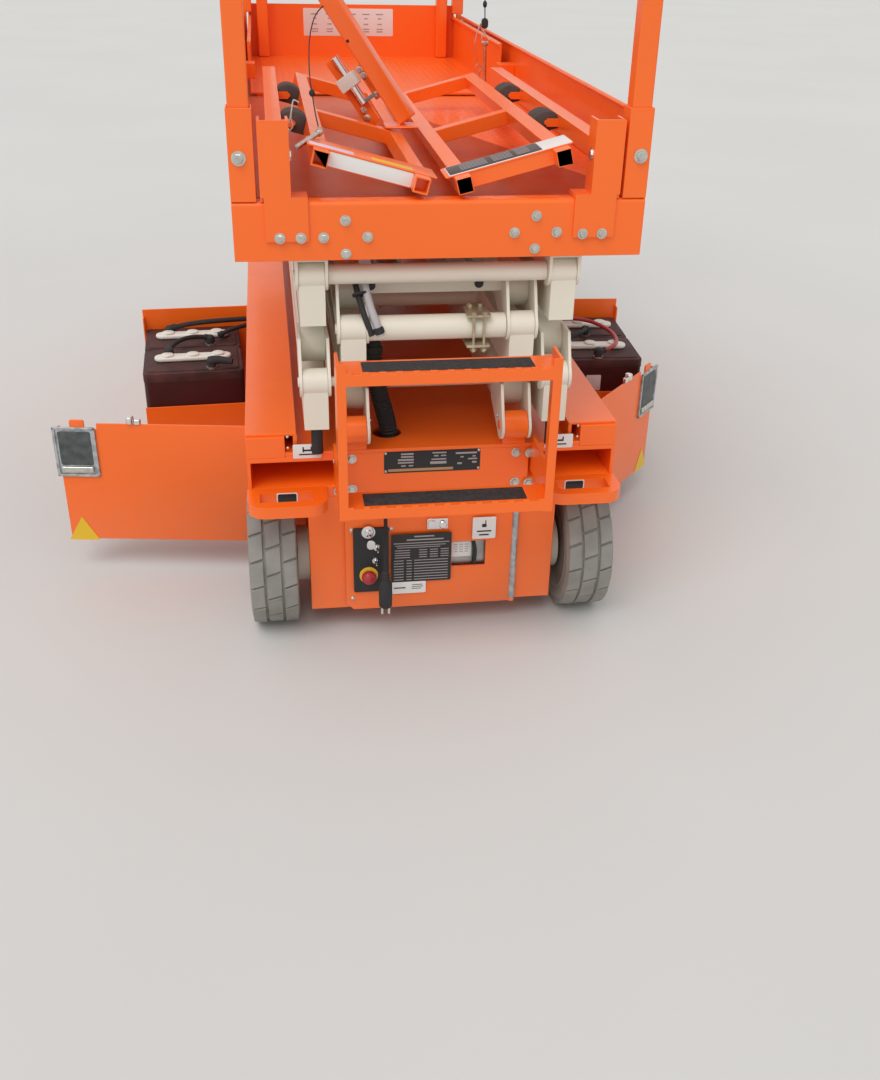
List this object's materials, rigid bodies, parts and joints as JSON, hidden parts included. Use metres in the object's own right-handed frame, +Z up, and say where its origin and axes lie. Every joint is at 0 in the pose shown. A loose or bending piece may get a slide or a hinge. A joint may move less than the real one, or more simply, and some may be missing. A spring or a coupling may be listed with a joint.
{
  "type": "scissor lift",
  "caption": "Self-propelled electric scissor lift, stowed, with folded rear gates, a roll-out deck, fork pockets, a rear ladder and both battery trays swung out.",
  "frame": {"origin": "on the floor, on the centre line, midway along the platform", "axes": "+Z up, +Y towards the machine's front, +X towards its right side"},
  "size_m": [1.5335, 2.4299, 2.075],
  "materials": {
    "orange_paint": "semi-gloss",
    "white_paint": "semi-gloss",
    "grey_tyre": "matt",
    "cream_rim": "semi-gloss",
    "steel": "satin",
    "chrome_steel": "polished",
    "black_plastic": "matt",
    "grey_plastic": "matt",
    "red_plastic": "gloss",
    "maroon_plastic": "semi-gloss",
    "white_plastic": "semi-gloss",
    "black_rubber": "matt"
  },
  "bodies": {
    "chassis": {"rear_frame": "orange_paint", "rear_cabinet": "orange_paint", "tie_loops": "orange_paint", "deck_frame": "orange_paint", "bay_frame": "orange_paint", "front_frame": "orange_paint", "front_beam": "orange_paint", "rear_hubs": "white_paint", "rest_pads": "black_rubber", "ladder": "orange_paint", "charger": "steel"},
    "rear_door": {"rear_door": "orange_paint", "control_panel": "black_plastic", "stop_button": "red_plastic", "charging_lead": "black_rubber", "lead_plug": "black_rubber"},
    "side_door_left": {"side_door_left": "orange_paint"},
    "side_door_right": {"side_door_right": "orange_paint"},
    "tray_left": {"battery_tray_left": "orange_paint", "batteries_left": "maroon_plastic"},
    "tray_right": {"battery_tray_right": "orange_paint", "batteries_right": "maroon_plastic"},
    "wheel_rear_left": {"tyre_rear_left": "grey_tyre", "rim_rear_left": "cream_rim"},
    "wheel_rear_right": {"tyre_rear_right": "grey_tyre", "rim_rear_right": "cream_rim"},
    "wheel_front_left": {"tyre_front_left": "grey_tyre", "rim_front_left": "cream_rim"},
    "wheel_front_right": {"tyre_front_right": "grey_tyre", "rim_front_right": "cream_rim"},
    "knuckle_left": {"knuckle_left": "steel"},
    "knuckle_right": {"knuckle_right": "steel"},
    "inner_1": {"inner_arms_1": "white_paint"},
    "outer_1": {"outer_arms_1": "white_paint", "lower_rollers": "steel"},
    "inner_2": {"inner_arms_2": "white_paint"},
    "outer_2": {"outer_arms_2": "white_paint"},
    "inner_3": {"inner_arms_3": "white_paint", "upper_rollers": "steel"},
    "outer_3": {"outer_arms_3": "white_paint"},
    "barrel": {"lift_barrel": "steel"},
    "rod": {"lift_rod": "chrome_steel"},
    "platform": {"platform_deck": "orange_paint", "toe_boards": "orange_paint", "corner_sleeves": "orange_paint", "platform_brackets": "white_paint", "guard_rail_left": "orange_paint", "guard_rail_right": "orange_paint", "gate_stubs": "orange_paint"},
    "extension": {"extension_deck": "orange_paint", "extension_rails": "orange_paint", "control_box": "grey_plastic"},
    "gate_left": {"gate_post_left": "orange_paint"},
    "gate_right": {"gate_post_right": "orange_paint"},
    "leaf_left": {"gate_leaf_left": "orange_paint", "hinge_covers_left": "black_plastic", "gate_bar": "orange_paint", "bar_plunger": "white_plastic"},
    "leaf_right": {"gate_leaf_right": "orange_paint", "hinge_covers_right": "black_plastic"}
  },
  "joints": [
    {"name": "lift", "type": "hinge", "parent": "chassis", "child": "inner_1", "pos_m": [0, -1.08, 0.495], "axis": [1, 0, 0], "range_deg": [0, 66]},
    {"name": "cross_1", "type": "hinge", "parent": "inner_1", "child": "outer_1", "pos_m": [0, -0.115, 0.55], "axis": [1, 0, 0], "range_deg": [-132, 0]},
    {"name": "fold_12", "type": "hinge", "parent": "inner_1", "child": "inner_2", "pos_m": [0, 0.85, 0.605], "axis": [1, 0, 0], "range_deg": [-132, 0]},
    {"name": "cross_2", "type": "hinge", "parent": "inner_2", "child": "outer_2", "pos_m": [0, -0.115, 0.66], "axis": [1, 0, 0], "range_deg": [0, 132]},
    {"name": "fold_23", "type": "hinge", "parent": "inner_2", "child": "inner_3", "pos_m": [0, -1.08, 0.715], "axis": [1, 0, 0], "range_deg": [0, 132]},
    {"name": "cross_3", "type": "hinge", "parent": "inner_3", "child": "outer_3", "pos_m": [0, -0.115, 0.77], "axis": [1, 0, 0], "range_deg": [-132, 0]},
    {"name": "platform_pin", "type": "hinge", "parent": "outer_3", "child": "platform", "pos_m": [0, -1.08, 0.825], "axis": [1, 0, 0], "range_deg": [0, 66]},
    {"name": "cylinder_pin", "type": "hinge", "parent": "inner_1", "child": "barrel", "pos_m": [0, -0.25, 0.53], "axis": [1, 0, 0], "range_deg": [-1.03, 0]},
    {"name": "cylinder_rod", "type": "slide", "parent": "barrel", "child": "rod", "axis": [0, 0.9884, 0.1521], "range_m": [0, 0.3665]},
    {"name": "deck_slide", "type": "slide", "parent": "platform", "child": "extension", "axis": [0, 1, 0], "range_m": [0, 0.91]},
    {"name": "roll_rear_left", "type": "hinge", "parent": "chassis", "child": "wheel_rear_left", "pos_m": [-0.3525, -0.984, 0.155], "axis": [1, 0, 0], "continuous": true},
    {"name": "roll_rear_right", "type": "hinge", "parent": "chassis", "child": "wheel_rear_right", "pos_m": [0.3525, -0.984, 0.155], "axis": [1, 0, 0], "continuous": true},
    {"name": "steer_left", "type": "hinge", "parent": "chassis", "child": "knuckle_left", "pos_m": [-0.34, 0.866, 0.385], "axis": [0, 0, 1], "range_deg": [-75, 75]},
    {"name": "steer_right", "type": "hinge", "parent": "chassis", "child": "knuckle_right", "pos_m": [0.34, 0.866, 0.385], "axis": [0, 0, 1], "range_deg": [-75, 75]},
    {"name": "roll_front_left", "type": "hinge", "parent": "knuckle_left", "child": "wheel_front_left", "pos_m": [-0.3525, 0.866, 0.155], "axis": [1, 0, 0], "continuous": true},
    {"name": "roll_front_right", "type": "hinge", "parent": "knuckle_right", "child": "wheel_front_right", "pos_m": [0.3525, 0.866, 0.155], "axis": [1, 0, 0], "continuous": true},
    {"name": "tray_left_swing", "type": "hinge", "parent": "chassis", "child": "tray_left", "pos_m": [-0.399, -0.036, 0.26], "axis": [0, 0, -1], "range_deg": [-87, 13]},
    {"name": "tray_right_swing", "type": "hinge", "parent": "chassis", "child": "tray_right", "pos_m": [0.399, -0.036, 0.26], "axis": [0, 0, 1], "range_deg": [-87, 13]},
    {"name": "side_door_left_swing", "type": "hinge", "parent": "chassis", "child": "side_door_left", "pos_m": [-0.399, -0.793, 0.24], "axis": [0, 0, 1], "range_deg": [-82, 12.25]},
    {"name": "side_door_right_swing", "type": "hinge", "parent": "chassis", "child": "side_door_right", "pos_m": [0.399, -0.793, 0.24], "axis": [0, 0, -1], "range_deg": [-41, 6.13]},
    {"name": "rear_door_swing", "type": "hinge", "parent": "chassis", "child": "rear_door", "pos_m": [0.182, -1.0925, 0.18], "axis": [0, 0, 1], "range_deg": [0, 100]},
    {"name": "gate_left_fold", "type": "hinge", "parent": "platform", "child": "gate_left", "pos_m": [-0.305, -1.11, 1.06], "axis": [1, 0, 0], "range_deg": [0, 92]},
    {"name": "gate_right_fold", "type": "hinge", "parent": "platform", "child": "gate_right", "pos_m": [0.305, -1.11, 1.06], "axis": [1, 0, 0], "range_deg": [0, 92]},
    {"name": "gate_left_leaf", "type": "hinge", "parent": "gate_left", "child": "leaf_left", "pos_m": [-0.265, -0.6, 1.06], "axis": [0, -1, 0], "range_deg": [0, 94]},
    {"name": "gate_right_leaf", "type": "hinge", "parent": "gate_right", "child": "leaf_right", "pos_m": [0.265, -0.6, 1.06], "axis": [0, 1, 0], "range_deg": [0, 94]}
  ],
  "couplings": [
    {"joint": "cross_1", "follows": "lift", "ratio": -2},
    {"joint": "fold_12", "follows": "lift", "ratio": -2},
    {"joint": "cross_2", "follows": "lift", "ratio": 2},
    {"joint": "fold_23", "follows": "lift", "ratio": 2},
    {"joint": "cross_3", "follows": "lift", "ratio": -2},
    {"joint": "platform_pin", "follows": "lift", "ratio": 1},
    {"joint": "cylinder_pin", "follows": "lift", "ratio": -0.015679},
    {"joint": "cylinder_rod", "follows": "lift", "m_per_rad": 0.31805},
    {"joint": "steer_right", "follows": "steer_left", "ratio": 1},
    {"joint": "side_door_left_swing", "follows": "tray_left_swing", "ratio": 0.94253},
    {"joint": "side_door_right_swing", "follows": "tray_right_swing", "ratio": 0.47126}
  ]
}
